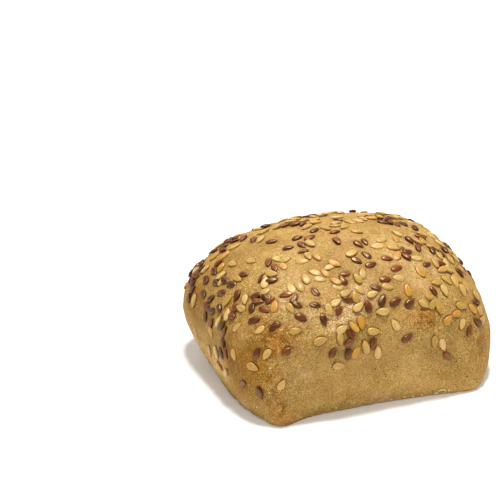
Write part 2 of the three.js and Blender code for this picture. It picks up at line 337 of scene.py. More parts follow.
def placeSeeds(placed, start, count, fromDegrees=0, roundDegrees=360):
    # one after another: some anywhere by the density, some beside a seed that lies there
    rule = seedRule
    draw = drawSource(start).__next__
    last = len(placed) + count
    while len(placed) < last:
        angle = draw() * 2 * math.pi
        level = rule["lowestDrawn"] + (1 - rule["lowestDrawn"]) * draw()
        beside = len(placed) > rule["firstPairAfter"] and draw() < rule["pairedShare"]
        pick = draw()
        bearing = draw() * 2 * math.pi
        gap = rule["pairGap"][0] + (rule["pairGap"][1] - rule["pairGap"][0]) * draw()
        if beside:
            other = placed[int(pick * len(placed))]
            turnRoom = max(math.cos((other["level"] - wallShare) * quarter), rule["crownRoom"])
            angle = other["angle"] + math.cos(bearing) * gap / (crustForm["length"] / 2 * turnRoom)
            level = other["level"] + math.sin(bearing) * gap / crustForm["length"]
        turn = draw() * 2 * math.pi
        size = 1 + rule["sizeSpread"] * (2 * draw() - 1)
        colourDraw = draw()
        chance = draw()
        press = rule["pressSpread"] * (2 * draw() - 1)
        heel = rule["heelSpread"] * (2 * draw() - 1)
        if level < rule["lowest"] or level > rule["highest"]:
            continue
        if (math.degrees(angle) - fromDegrees) % 360 > roundDegrees:
            continue
        room = 1 if beside else math.cos(domeAngleAt(level))
        density, paleShare = seedingAt(crust(angle, level), level)
        if chance > room * density:
            continue
        kind = paleSeed if colourDraw < paleShare else linseed
        seed = seedAt(angle, level, turn, size, kind, press, heel)
        if all(seedsApart(seed, other) >= rule["clearance"] for other in placed):
            placed.append(seed)


def leanSeeds(placed):
    # a seed that touches an earlier one lies up on its edge there
    rule = seedRule
    for i, seed in enumerate(placed):
        for other in placed[:i]:
            overlap = min(max((rule["leanFrom"] - seedsApart(seed, other)) / rule["leanOver"], 0), 1)
            if overlap == 0:
                continue
            apart = seed["point"] - other["point"]
            away = apart - seed["up"] * float(apart @ seed["up"])
            axis = np.cross(seed["up"], away / np.linalg.norm(away))
            seed["lift"] = max(seed["lift"], rule["leanLift"] * overlap)
            seed["roll"] = Matrix.Rotation(rule["leanTurn"] * overlap, 3, Vector(axis)) @ seed["roll"]


seeds = []
placeSeeds(seeds, seedRule["start"], seedRule["count"])
sizes = random.Random(seedRule["start"])
for kind, places in ((linseed, moreLinseeds), (paleSeed, morePaleSeeds)):
    for degrees, level, turn in places:
        size = 1 + seedRule["sizeSpread"] * sizes.uniform(-1, 1)
        seeds.append(seedAt(math.radians(degrees), level, math.radians(turn), size, kind))
placeSeeds(seeds, farSeeds["start"], farSeeds["count"], farSeeds["from"], farSeeds["round"])
leanSeeds(seeds)
print("seeds placed:", len(seeds), "of them pale:", sum(seed["kind"] is paleSeed for seed in seeds))


# The crust's mesh

crustMesh = {
    "sectors": 640,  # round the widest ring, halved wherever a ring is half as long
    "fewestSectors": 20,
    "wallRings": 38,
    "domeRings": 128,
    "underRings": 16,
    "edgeRings": 3,  # of the rounded bottom edge
    "wallCrowding": 1.15,  # powers that crowd the rings of the wall and of the underside towards that edge
    "underCrowding": 0.8,
    # waves of the crust: length and height
    "waves": ((17, 0.4), (7, 0.26)),
    "fineWaves": ((2.8, 0.16), (1.3, 0.08)),
    "waveShift": 7.3,  # keeps the waves of one length off those of the next
    "roughGain": 1.1,  # how much higher the fine waves are in the rough places
    "reliefHeight": 2.5,  # the relief grows to its full height over this
    "rimWave": (4.5, 1.1),  # length and depth of the waves of the lower edge
    "hollows": (0.5, 5, 2),  # depth, width and steepness of the hollows of the underside
    "flatUnder": 0.99,  # how squarely down a face looks that has hollows
    "trayUnder": 0.4,  # and how much at least one that the tray browned
    "creaseStops": 12,  # points of a crease's line for each of its places
    "creaseReach": 12,  # how far from its middle a crease is looked for
    "creaseEnds": 0.1,  # how far along its swell each end of a crease starts
    "pressReach": 0.9,  # in seed lengths
    "lip": 0.11,  # how far the dough stands up round a seed
    "lipAway": 0.35,
    "lipSpread": 0.4,
    "seedBed": 0.3,  # how far it is pressed in under one
    "bedSlope": 0.4,
    "gelSpread": 0.9,
    # how far the painted shade round a seed reaches
    "shadeSpread": 0.3,
}

# places of the crust by what they are: degrees, level, strength and spread
crustPlaces = {
    "toasted": (
        (226, 0.48, 0.75, 5.5), (221, 0.51, 0.5, 6), (229, 0.43, 0.5, 6), (232, 0.5, 0.3, 5),
        (291, 0.455, 0.75, 4.5), (289, 0.43, 0.35, 8), (272, 0.86, 0.2, 7), (196, 0.53, 0.3, 8),
        (205, 0.45, 0.25, 8), (203, 0.33, 0.5, 7), (259, 0.89, 0.2, 6), (226, 0.3, 0.35, 6),
        (230, 0.12, 0.65, 7), (232, 0.02, 0.5, 6), (313, 0.3, 0.55, 6), (20, 0.55, 0.6, 8),
        (75, 0.62, 0.5, 8), (128, 0.52, 0.7, 8), (52, 0.3, 0.4, 7),
    ),
    # pale places: flour that stayed and crust that had less heat, and along the lower edge and at the rims
    # painted light
    "flourAndLight": (
        (260, 0.61, 0.8, 7), (252, 0.53, 0.8, 5), (239, 0.54, 0.6, 6), (224, 0.62, 0.5, 6),
        (268, 0.61, 0.5, 7), (288, 0.7, 0.2, 8), (222, 0.71, 0.45, 8), (200, 0.9, 0.4, 10),
        (318, 0.85, 0.45, 8), (160, 0.22, 0.9, 7), (180, 0.12, 0.7, 8), (214, 0.04, 0.7, 6),
        (194, 0.2, 0.85, 7), (195, 0.29, 0.4, 5), (238, 0.32, 0.45, 7), (323, 0.6, 0.55, 7),
        (243, 0.05, 0.3, 7), (256, 0, 0.6, 5), (266, 0, 0.65, 5), (276, 0, 0.55, 5),
        (286, 0, 0.4, 5), (297, 0, 0.4, 5), (308, 0.72, 0.45, 9), (335, 0.72, 0.4, 8),
        (11, 0.72, 0.5, 9), (300, 0.62, 0.4, 7), (95, 0.2, 0.6, 14), (40, 0.15, 0.4, 10),
    ),
    # darker and yellower places
    "darkYellow": (
        (295, 0.14, 0.35, 9), (206, 0.33, 0.9, 8), (160, 0.37, 0.6, 7), (219, 0.27, 0.4, 6),
        (245, 0.6, 0.3, 4), (196, 0.42, 0.5, 7), (195, 0.53, 0.5, 7), (280, 0.6, 0.2, 6),
        (219, 0.37, 0.8, 6), (225, 0.3, 0.55, 6), (213, 0.18, 0.4, 6), (310, 0.24, 0.6, 7),
        (308, 0.38, 0.3, 6), (291, 0.44, 0.42, 6), (228, 0.44, 0.4, 7), (20, 0.38, 0.7, 9),
        (72, 0.4, 0.6, 9), (130, 0.36, 0.8, 9), (160, 0.48, 0.5, 8),
    ),
    # wrinkled and blistered more than elsewhere
    "rough": (
        (226, 0.47, 1.0, 7), (250, 0.56, 0.9, 8), (262, 0.6, 0.6, 6), (226, 0.25, 0.6, 8),
        (291, 0.46, 0.6, 7), (197, 0.56, 1.0, 9), (222, 0.6, 0.6, 6), (308, 0.35, 0.5, 8),
        (20, 0.5, 0.8, 9), (74, 0.55, 0.8, 9), (128, 0.5, 1.0, 9), (110, 0.75, 0.6, 9),
    ),
}

# creases and folds of the skin: height, width and the places (degrees, level) that each runs through
creases = (
    (0.5, 0.5, ((219, 0.53), (225, 0.515), (230, 0.48), (234, 0.45))),
    (0.4, 0.45, ((222, 0.44), (227, 0.43), (231, 0.4))),
    (0.4, 0.5, ((225, 0.27), (227, 0.22), (230, 0.17))),
    (-0.45, 0.6, ((221, 0.3), (224, 0.24), (227, 0.16), (229, 0.08))),
    (0.35, 0.5, ((232, 0.24), (233, 0.16), (233, 0.08))),
    (-0.5, 0.7, ((242, 0.55), (248, 0.53), (253, 0.54))),
    (-0.6, 0.7, ((241, 0.62), (245, 0.59), (250, 0.57))),
    (-0.45, 0.5, ((245, 0.64), (249, 0.61), (252, 0.6))),
    (0.35, 0.5, ((243, 0.66), (247, 0.63), (251, 0.585))),
    (-0.45, 0.6, ((258, 0.6), (263, 0.57), (268, 0.58))),
    (0.45, 0.5, ((196, 0.63), (203, 0.6), (210, 0.61))),
    (-0.45, 0.6, ((285, 0.52), (290, 0.5), (296, 0.5))),
    (0.5, 0.8, ((120, 0.55), (127, 0.53), (134, 0.55))),
    (-0.45, 0.8, ((70, 0.5), (78, 0.48), (86, 0.5))),
    (0.4, 0.7, ((40, 0.25), (43, 0.17), (46, 0.1))),
    (0.4, 0.7, ((133, 0.27), (136, 0.18), (139, 0.1))),
    (-0.45, 0.8, ((10, 0.5), (16, 0.48), (22, 0.5))),
)


def placesAt(points, places):
    total = np.zeros(len(points))
    for degrees, level, strength, spread in places:
        total += strength * fading(points, crust(math.radians(degrees), level), spread)
    return np.clip(total, 0, 1)


def noiseAt(points, length=1):
    return np.array([noise.noise(Vector(point) / length) for point in points])


def wavesAt(points, waves):
    total = np.zeros(len(points))
    for i, (length, height) in enumerate(waves):
        total += height * noiseAt(points / length + crustMesh["waveShift"] * i)
    return total


def creasesAt(points):
    # how far the creases move the skin in or out
    push = np.zeros(len(points))
    ends = crustMesh["creaseEnds"]
    for height, width, places in creases:
        steps = np.linspace(0, len(places) - 1, crustMesh["creaseStops"] * len(places))
        degrees, levels = [np.interp(steps, np.arange(len(places)), values) for values in zip(*places)]
        line = crust(np.radians(degrees), levels)
        close = np.flatnonzero(((points - line.mean(0)) ** 2).sum(-1) < crustMesh["creaseReach"] ** 2)
        apart = np.linalg.norm(points[close][:, None] - line[None], axis=-1)
        swell = np.sin(math.pi * (ends + (1 - 2 * ends) * apart.argmin(1) / (len(line) - 1)))
        push[close] += height * swell * np.exp(-(apart.min(1) / width) ** 2)
    return push


def ringSectors(share):
    # how many points a ring has, by its length as a share of the widest one's
    halvings = int(math.floor(math.log2(1 / max(share, 1e-6))))
    return max(crustMesh["sectors"] >> max(halvings, 0), crustMesh["fewestSectors"])


def crustRings():
    # from the middle of the underside up to the crown: a ring's number of points, its share of the rim,
    # how far it is bent up round the bottom edge, and its level
    m = crustMesh
    for i in range(1, m["underRings"] + 1):
        share = (i / m["underRings"]) ** m["underCrowding"]
        yield ringSectors(share), share, 0, 0
    for i in range(1, m["edgeRings"]):
        yield m["sectors"], 1, i / m["edgeRings"] * quarter, 0
    for i in range(m["wallRings"]):
        yield m["sectors"], 1, quarter, wallShare * (i / m["wallRings"]) ** m["wallCrowding"]
    for i in range(m["domeRings"]):
        share = i / m["domeRings"]
        length = math.cos(share * quarter) ** (2 / crustForm["domePowers"][0])
        yield ringSectors(length), 1, quarter, wallShare + (1 - wallShare) * share


def joinRings(faces, below, above):
    # quads between two rings of points, or three triangles where the one has half as many
    few, many = (above, below) if len(above) < len(below) else (below, above)
    for i, near in enumerate(few):
        far = few[(i + 1) % len(few)]
        if len(few) == len(many):
            faces.append((near, far, above[(i + 1) % len(above)], above[i]))
            continue
        first, middle, last = many[2 * i], many[2 * i + 1], many[(2 * i + 2) % len(many)]
        for corners in ((first, middle, near), (middle, last, far), (middle, far, near)):
            faces.append(corners[::-1] if few is below else corners)


def crustSurface():
    # the points of the crust, the directions out of it there, and the faces
    points, normals, faces, rings, count = [], [], [], [], 0
    lowestNormal = 0.005  # the rim itself has no crust below it to take a direction from
    for sectors, share, bend, ringLevel in crustRings():
        angles = np.arange(sectors) * 2 * math.pi / sectors
        level = np.full(sectors, ringLevel, float)
        ring = crust(angles, level)
        out = crustNormal(angles, np.maximum(level, lowestNormal))
        if bend < quarter:
            rim, sine, cosine = ring[:, :2], math.sin(bend), math.cos(bend)
            radius = np.hypot(ring[:, 0], ring[:, 1])[:, None]
            inner = rim * (1 - crustForm["bottomEdge"] / radius)
            out = np.column_stack([rim / radius * sine, np.full(sectors, -cosine)])
            ring = np.column_stack([inner * share + (rim - inner) * sine, ring[:, 2] * (1 - cosine)])
        points.append(ring)
        normals.append(out)
        rings.append(range(count, count + sectors))
        count += sectors
    for below, above in zip(rings, rings[1:]):
        joinRings(faces, below, above)
    points += [np.zeros((1, 3)), crust(np.zeros(1), np.ones(1))]
    normals += [np.array([[0.0, 0.0, -1.0]]), np.array([[0.0, 0.0, 1.0]])]
    first, last = rings[0], rings[-1]
    faces += [(first[(i + 1) % len(first)], first[i], count) for i in range(len(first))]
    faces += [(last[i], last[(i + 1) % len(last)], count + 1) for i in range(len(last))]
    return np.concatenate(points), np.concatenate(normals), faces


def pressSeeds(points):
    # how far the dough moves in or out near the seeds, how close it is to a linseed, and how close to any
    # seed, for the shade painted round each one
    m = crustMesh
    push, gel, paintedShade = np.zeros((3, len(points)))
    for seed in seeds:
        kind = seed["kind"]
        away = points - seed["point"]
        close = np.flatnonzero((away ** 2).sum(-1) < (kind["length"] * m["pressReach"]) ** 2)
        u = away[close] @ seed["along"] / (seed["length"] / 2)
        v = away[close] @ seed["across"] / (seed["width"] / 2)
        reach = np.hypot(u, v)
        size = np.hypot(u * kind["length"] / 2, v * kind["width"] / 2) / np.maximum(reach, 1e-6)
        outside = (reach - 1) * size  # distance from the outline in millimetres
        lip = m["lip"] * np.exp(-((outside - m["lipAway"]) / m["lipSpread"]) ** 2)
        push[close] = np.maximum(push[close], lip) - m["seedBed"] * np.clip(-outside / m["bedSlope"], 0, 1)
        beyond = np.maximum(outside, 0) ** 2
        if kind is linseed:
            gel[close] = np.maximum(gel[close], np.exp(-beyond / m["gelSpread"] ** 2))
        paintedShade[close] = np.maximum(paintedShade[close], np.exp(-beyond / m["shadeSpread"] ** 2))
    return push, gel, paintedShade


def meshPiece(name, points, faces, attributes, material):
    # a smooth-shaded piece of the roll, from points in millimetres and the numbers that each one carries
    piece = addMesh(name, (points * mm).tolist(), faces, material)
    piece.data.polygons.foreach_set("use_smooth", [True] * len(faces))
    for attributeName, values in attributes.items():
        attribute = piece.data.attributes.new(attributeName, "FLOAT", "POINT")
        attribute.data.foreach_set("value", values.astype(np.float32))
    piece.data.update()
    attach(piece, "root")
    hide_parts("roll")
    print(name + ":", len(points), "points,", sum(len(face) - 2 for face in faces), "triangles")


# the baked crust's colours, and the real sizes of what shows in it
crustLook = {
    "dough": ("#917334", "#aa8c49"),  # drier and moister patches
    "toasted": ("#765110", "#a17020"),  # where the sugars browned without and with fat
    "tray": ("#80612d", "#a6854a"),  # of the underside, browned on the tray
    "flourAndLight": "#bfa46e",
    "darkYellow": "#dfc76e",  # what the darker and yellower places are multiplied by
    "golden": "#f6d290",
    "bran": "#46260a",
    # painted shade, round each seed and in the troughs of the folds
    "gel": "#7c5030",
    "paintedShade": "#643214",
    # what varies it: size, detail and roughness
    "noises": {
        "patches": (15 * mm, 3, 0.6),
        "mottles": (3.2 * mm, 5, 0.7),
        "sugars": (2.6 * mm, 3, 0.55),
        "meal": (4.5 * mm, 3, 0.6),
        "grain": (0.38 * mm, 2, 0.8),  # twice as coarse as it is, so that it shows
        "pits": (1.1 * mm, 3, 0.65),
    },
    "cells": {"blisters": 0.52 * mm, "bran": 2.0 * mm},
    "films": {"gel": 0.25, "paintedShade": 0.28},  # how strong the film and the painted shade round a seed are
    # where the ragged places start and where they are full, and how strong they are there
    "ragged": {
        "toasted": (0.2, 1.1, 0.85),
        "flourAndLight": (0.15, 1.12, 0.72),
        "darkYellow": (0.1, 1.0, 1.0),
        "hollow": (0.5, 1.3, 0.7),
        "fold": (0.1, 0.9, 0.45),
    },
}


def brownedTone(tone):
    # baked starch that is darker is also browner: the blue changes most and the red least
    red, blue = (0.55, 2.3) if tone < 1 else (0.85, 1.85)
    return (tone ** red, tone ** 1.05, tone ** blue, 1)


def slantRoughness(add, usual, added):
    # at a slant, what stands up on the surface hides its own gloss
    facing = add("LayerWeight", {"Blend": 0.5}, "Facing")
    slant = add("Math", {0: facing, 1: 2.0}, operation="POWER")
    return add("Math", {0: slant, 1: added, 2: usual}, operation="MULTIPLY_ADD", use_clamp=True)


def bakedCrust(add):
    # Baked wholegrain dough. Its starch dries to a satin skin, full of blisters finer than half a
    # millimetre that show as golden grains, painted brighter as their glints, with flakes of dark bran in it.
    # Where the oven was hotter the sugars toast to orange brown, and flour left on it looks paler and dull.
    look = crustLook
    place = add("TexCoord", output="Object")
    points = {name: add("Attribute", output="Fac", attribute_name=name) for name in (
        "toasted", "flourAndLight", "darkYellow", "rough", "fold", "gel", "paintedShade", "underside", "hollow")}
    noises, cells, draws, ramps, ragged, ranges, tones = {}, {}, {}, {}, {}, {}, {}
    for name, (size, detail, roughness) in look["noises"].items():
        noises[name] = add("TexNoise", {
            "Scale": 1 / size, "Detail": detail, "Roughness": roughness, "Vector": place})
    # the meal is read elsewhere in the noise, so that it doesn't follow the patches
    noises["meal"].node.noise_dimensions = "4D"
    noises["meal"].node.inputs["W"].default_value = 3.0
    for name, size in look["cells"].items():
        cells[name] = add("TexVoronoi", {"Scale": 1 / size, "Vector": place})
        draws[name] = add("SeparateColor", {"Color": cells[name].node.outputs["Color"]})
    for name, source, stops in (("dough", "patches", (0.34, 0.66)), ("toasted", "sugars", (0.4, 0.6)),
                                ("tray", "sugars", (0.36, 0.64))):
        ramps[name] = add("ValToRGB", {"Fac": noises[source]})
        for element, stop, hexColour in zip(ramps[name].node.color_ramp.elements, stops, look[name]):
            element.position = stop
            element.color = linearColour(hexColour)

    # the mottles make the edges of the places ragged
    spread = add("Math", {0: noises["mottles"], 1: 2.2, 2: -1.1}, operation="MULTIPLY_ADD")
    for name, (low, high, most) in look["ragged"].items():
        edge = add("Math", {0: spread, 1: points[name]}, operation="ADD")
        ragged[name] = add("MapRange", {0: edge, 1: low, 2: high, 4: most}, interpolation_type="SMOOTHSTEP")

    # the range that each noise or mask is read in, and what it comes out as: bran up to two thirds of a
    # millimetre wide in each cell, and a blister in about half of them
    branSize = add("Math", {0: cells["bran"], 1: draws["bran"]}, operation="DIVIDE")
    for name, value, low, high, least, most in (
        ("mottles", noises["mottles"], 0.36, 0.64, 0, 1),
        ("meal", noises["meal"], 0.38, 0.62, 0, 1),
        ("evenness", noises["meal"], 0.35, 0.65, 0.5, 0.85),
        ("grain", noises["grain"], 0.36, 0.64, -0.5, 0.5),
        ("pits", noises["pits"], 0.36, 0.64, -0.5, 0.5),
        ("satin", noises["grain"], 0.36, 0.64, 0.7, 0.48),
        ("blister", cells["blisters"], 0.4, 0.15, 0, 0.75),
        ("blisterHere", draws["blisters"], 0.5, 1, 0, 1),
        ("bran", branSize, 0.18, 0.1, 0, 0.92),
        ("trough", points["fold"], -0.1, -0.6, 0, 0.2),
    ):
        ranges[name] = add("MapRange", {0: value, 1: low, 2: high, 3: least, 4: most})

    # grain, pits and blisters are stronger where the skin is rough
    gain = add("Math", {0: points["rough"], 1: 0.9, 2: ranges["evenness"]}, operation="MULTIPLY_ADD")
    grainTone = add("Math", {0: ranges["grain"], 1: gain, 2: 0.5}, operation="MULTIPLY_ADD")
    pitDepth = add("Math", {0: ranges["pits"], 1: gain}, operation="MULTIPLY")
    pitTone = add("Math", {0: pitDepth, 1: 0.5}, operation="ADD")
    blister = add("Math", {0: ranges["blister"], 1: ranges["blisterHere"]}, operation="MULTIPLY")
    blisterGain = add("Math", {0: gain, 1: 0.15}, operation="ADD")
    blisterGlint = add("Math", {0: blister, 1: blisterGain}, operation="MULTIPLY", use_clamp=True)
    for name, value, darkest, lightest in (
        ("mottles", ranges["mottles"], brownedTone(0.96), brownedTone(1.04)),
        ("meal", ranges["meal"], (1.04, 0.98, 1.02, 1), (0.97, 1.01, 0.93, 1)),  # towards pink or olive
        ("grain", grainTone, brownedTone(0.42), brownedTone(1.52)),
        # the pits: darker and browner where they are deeper, a painted shade in them
        ("pits", pitTone, brownedTone(0.8), brownedTone(1.16)),
    ):
        tones[name] = add("Mix", {0: value, 6: darkest, 7: lightest}, 2, data_type="RGBA")
    # the gel's film, and the painted shade round each seed
    film, line = [add("Math", {0: points[name], 1: strength}, operation="MULTIPLY")
                  for name, strength in look["films"].items()]

    # the colour, layer by layer; the gel of the linseed dries to a thin brown film round each one, and a dark
    # line round every seed is painted shade where it meets the crust
    colour = ramps["dough"]
    for blend, mask, layer in (
        ("MIX", ragged["toasted"], ramps["toasted"]),
        # pale places: flour, and painted light along the lower edge and at the rims
        ("MIX", ragged["flourAndLight"], look["flourAndLight"]),
        ("MULTIPLY", ragged["darkYellow"], look["darkYellow"]),
        ("MIX", points["underside"], ramps["tray"]),
        ("MIX", ragged["hollow"], look["flourAndLight"]),  # flour stayed in the hollows of the underside
        ("MULTIPLY", 1, tones["mottles"]),
        ("MULTIPLY", 1, tones["meal"]),
        ("MULTIPLY", 1, tones["grain"]),
        ("MULTIPLY", 1, tones["pits"]),
        # golden blisters, lighter in colour and painted brighter still as a glint
        ("MIX", blisterGlint, look["golden"]),
        ("MIX", ranges["bran"], look["bran"]),
        ("MIX", ragged["fold"], look["flourAndLight"]),  # painted highlight on the crests of the folds, in the flour colour
        # painted shade in the troughs of the folds
        ("MIX", ranges["trough"], look["paintedShade"]),
        ("MIX", film, look["gel"]),
        ("MIX", line, look["paintedShade"]),
    ):
        colour = add("Mix", {0: mask, 6: colour, 7: layer}, 2, data_type="RGBA", blend_type=blend)

    # relief finer than the mesh: the grain and the pits; toasted skin is the glossiest
    fine = add("Bump", {"Strength": 0.5, "Distance": 0.15 * mm, "Height": noises["grain"]})
    coarse = add("Bump", {"Strength": 0.5, "Distance": 0.09 * mm, "Height": pitDepth, "Normal": fine})
    satin = add("Math", {0: points["toasted"], 1: -0.14, 2: ranges["satin"]}, operation="MULTIPLY_ADD")
    return add("BsdfPrincipled", {
        "IOR": 1.45, "Specular IOR Level": 0.16, "Base Color": colour,
        "Roughness": slantRoughness(add, satin, 0.6), "Normal": coarse})


def makeCrust():
    m = crustMesh
    points, normals, faces = crustSurface()
    height = np.clip(points[:, 2] / m["reliefHeight"], 0, 1)
    told = {name: placesAt(points, places) for name, places in crustPlaces.items()}
    told["fold"] = creasesAt(points)
    push, told["gel"], told["paintedShade"] = pressSeeds(points)
    told["underside"] = np.clip((-normals[:, 2] - m["trayUnder"]) / (1 - m["trayUnder"]), 0, 1)
    depth, width, steepness = m["hollows"]
    told["hollow"] = np.clip(steepness * noiseAt(points, width), 0, 1) * (normals[:, 2] < -m["flatUnder"])
    fine = wavesAt(points, m["fineWaves"]) * (1 + m["roughGain"] * told["rough"])
    relief = (wavesAt(points, m["waves"]) + fine + told["fold"]) * height + push
    shaped = points + normals * relief[:, None]
    shaped[:, 2] = np.maximum(shaped[:, 2], 0) + depth * told["hollow"]
    # the lower edge wanders in and out where the dough stuck to the tray
    waveLength, waveDepth = m["rimWave"]
    inward = waveDepth * np.clip(noiseAt(points * (1, 1, 0), waveLength), 0, 1) * (1 - height)
    shaped[:, :2] *= (1 - inward / np.maximum(np.hypot(shaped[:, 0], shaped[:, 1]), 1))[:, None]
    material = newMaterial("baked_crust", bakedCrust)
    meshPiece("roll_crust", np.clip(shaped, boxLow, boxHigh), faces, told, material)


makeCrust()


# The seeds' meshes

seedMesh = {
    "stations": 18,  # along a seed
    "round": 24,  # points round it
    "start": 41,
    "thicknessSpread": 0.12,
    "bendSpread": 0.12,  # how far a seed curves to one side, mm
    "bendMiddle": 0.4,  # share of the bend that goes to the middle, and the rest to the ends
    "flatShare": -0.6,  # the lowest draw of a dent; a seed has none below 0
    "plainShare": -1.8,  # the lowest draw of a seed's toasting; it has none below 0
    "archPowers": (0.62, 0.5),  # of the height along a seed, at the tip and at the blunt end
    "archTop": 1.02,
    "dentWidth": 0.45,  # share of the half width
    "wrinkles": (1.1, 3.3),  # how close they are along and across
    "tipDrop": 0.05,
}


def seedHalfWidth(kind, u):
    # half width at u, from -1 at the blunt end to 1 at the tip
    widest = (kind["blunt"] - kind["tip"]) / (kind["blunt"] + kind["tip"])
    shape = (1 - u) ** kind["tip"] * (1 + u) ** kind["blunt"]
    full = (1 - widest) ** kind["tip"] * (1 + widest) ** kind["blunt"]
    return kind["width"] / 2 * shape / full


def seedShell(kind, draws):
    # one seed lying along X, as rings of points from the blunt end to the tip: points, u, v and rim
    m = seedMesh
    thickness = 1 + m["thicknessSpread"] * draws.uniform(-1, 1)
    bend = m["bendSpread"] * draws.uniform(-1, 1)
    dent = kind["dent"] * max(draws.uniform(m["flatShare"], 1), 0)
    own = draws.uniform(0, 50)  # where its wrinkles are read from the noise
    top = (kind["rise"] - kind["midHeight"]) * thickness
    tipPower, bluntPower = m["archPowers"]
    points, places = [(-kind["length"] / 2, 0, kind["midHeight"])], [(-1, 0, 1)]
    for i in range(1, m["stations"]):
        u = -math.cos(math.pi * i / m["stations"])
        width = seedHalfWidth(kind, u)
        arch = (1 - u) ** tipPower * (1 + u) ** bluntPower / m["archTop"]
        side = bend * (u * u - m["bendMiddle"])
        for j in range(m["round"]):
            turn = 2 * math.pi * j / m["round"]
            v = math.copysign(abs(math.cos(turn)) ** kind["boxiness"], math.cos(turn))
            w = math.copysign(abs(math.sin(turn)) ** kind["boxiness"], math.sin(turn))
            rise = top * arch * w if w > 0 else kind["belly"] * arch * w
            if w > 0:
                wrinkle = noise.noise(Vector((m["wrinkles"][0] * u, m["wrinkles"][1] * v, own)))
                rise -= dent * math.exp(-(v / m["dentWidth"]) ** 2) * (1 - u * u)
                rise += kind["wrinkle"] * wrinkle * (1 - u * u)
            points.append((u * kind["length"] / 2, width * v + side, kind["midHeight"] + rise))
            places.append((u, v, 1 - abs(w)))
    points.append((kind["length"] / 2, bend * (1 - m["bendMiddle"]), kind["midHeight"] - m["tipDrop"]))
    places.append((1, 0, 1))
    return np.array(points), np.array(places)


def seedFaces(start):
    around = seedMesh["round"]
    last = start + 1 + (seedMesh["stations"] - 1) * around
    faces = []
    for a in range(start + 1, last - around, around):
        for j in range(around):
            b = (j + 1) % around
            faces.append((a + j, a + around + j, a + around + b, a + b))
    for j in range(around):
        b = (j + 1) % around
        faces.append((start, start + 1 + j, start + 1 + b))
        faces.append((last, last - around + b, last - around + j))
    return faces


def setInside(placed):
    # what lies at the very edge of the roll's box is set in by as much as it would stand out
    over = np.maximum(placed.max(0) - boxHigh, 0) - np.maximum(boxLow - placed.min(0), 0)
    return placed - over


def makeSeeds(name, kind, material):
    # all the seeds of one kind as one mesh, each with its own tone and toasting
    draws = random.Random(seedMesh["start"])
    points, faces, told = [], [], []
    for seed in seeds:
        if seed["kind"] is not kind:
            continue
        shell, places = seedShell(kind, draws)
        tone, toast = draws.random(), max(draws.uniform(seedMesh["plainShare"], 1), 0)
        cosine, sine = math.cos(seed["heel"]), math.sin(seed["heel"])
        across = seed["across"] * cosine + seed["up"] * sine
        up = seed["up"] * cosine - seed["across"] * sine
        along, across, up = (np.array(seed["roll"] @ Vector(v)) for v in (seed["along"], across, up))
        origin = seed["point"] + seed["up"] * (seed["press"] + seed["lift"])
        placed = (origin + shell[:, :1] * seed["size"] * along + shell[:, 1:2] * seed["size"] * across
                  + shell[:, 2:] * up)
        faces += seedFaces(len(shell) * len(points))
        points.append(setInside(placed))
        onSeed = places * (kind["length"] / 2, kind["width"] / 2, 1)
        told.append(np.column_stack([np.tile([tone, toast], (len(shell), 1)), onSeed]))
    names = ("seedTone", "seedToast", "seedAlong", "seedAcross", "seedRim")
    meshPiece(name, np.concatenate(points), faces, dict(zip(names, np.concatenate(told).T)), material)


def seedSkin(add, look):
    # what the skins of both kinds start from: fine streaks of each seed's own, by the place on it in
    # millimetres, its ground colour, the streaks' tone, the masks of its rim and tip, and the relief
    points = {name: add("Attribute", output="Fac", attribute_name=name)
              for name in ("seedAlong", "seedAcross", "seedTone", "seedRim")}
    longways = add("Math", {0: points["seedAlong"], 1: look["streakLength"]}, operation="DIVIDE")
    sideways = add("Math", {0: points["seedAcross"], 1: look["streakWidth"]}, operation="DIVIDE")
    apart = add("Math", {0: points["seedTone"], 1: 400.0}, operation="MULTIPLY")
    place = add("CombineXYZ", {0: longways, 1: sideways, 2: apart})
    streaks = add("TexNoise", {"Scale": 1.0, "Detail": 3, "Roughness": 0.6, "Vector": place})
    ground = add("Mix", {0: points["seedTone"], 6: look["dark"], 7: look["light"]}, 2, data_type="RGBA")
    least, most = look["streakTones"]
    lined = add("MapRange", {0: streaks, 1: 0.35, 2: 0.65, 3: least, 4: most})
    masks = [add("MapRange", {0: points[name], 1: low, 2: high, 4: most}, interpolation_type="SMOOTHSTEP")
             for name, (low, high, most) in look["masks"].items()]
    relief = add("Bump", {"Strength": look["relief"], "Distance": 0.14 * mm, "Height": streaks})
    return streaks, ground, lined, masks, relief


linseedLook = {
    "dark": "#381104",  # of the darkest and lightest seed
    "light": "#652606",
    "rim": "#2c1406",
    "sheen": "#ffd998",  # tint of its gloss, from the brown gel
    "ior": 1.86,  # raised from about 1.5 until its gloss is as strong as the photo's
    "masks": {"seedRim": (0.3, 0.9, 0.75)},  # where it starts and is full, and how strong it is
    "streakLength": 2.6,
    "streakWidth": 0.46,
    # how dark and how light its streaks are; the light ones are painted highlight
    "streakTones": (0.42, 1.75),
    "relief": 0.6,
}


def linseedHull(add):
    # Linseed hull, a hard red-brown skin. Its dried gel gives it a satin gloss, and it shrinks to
    # lengthwise wrinkles that break the highlight into streaks, whose lighter tone is painted highlight as
    # well.
    # Its thin rim is darkened, a painted shade.
    look = linseedLook
    streaks, ground, lined, (rimMask,), relief = seedSkin(add, look)
    # its streaks, the lighter of which are painted highlight along the wrinkles
    colour = add("Mix", {0: 1, 6: ground, 7: lined}, 2, data_type="RGBA", blend_type="MULTIPLY")
    # the rim darkened: painted shade
    colour = add("Mix", {0: rimMask, 6: colour, 7: look["rim"]}, 2, data_type="RGBA")
    return add("BsdfPrincipled", {
        "IOR": look["ior"], "Specular Tint": look["sheen"], "Base Color": colour,
        "Roughness": slantRoughness(add, 0.36, 0.55), "Normal": relief})


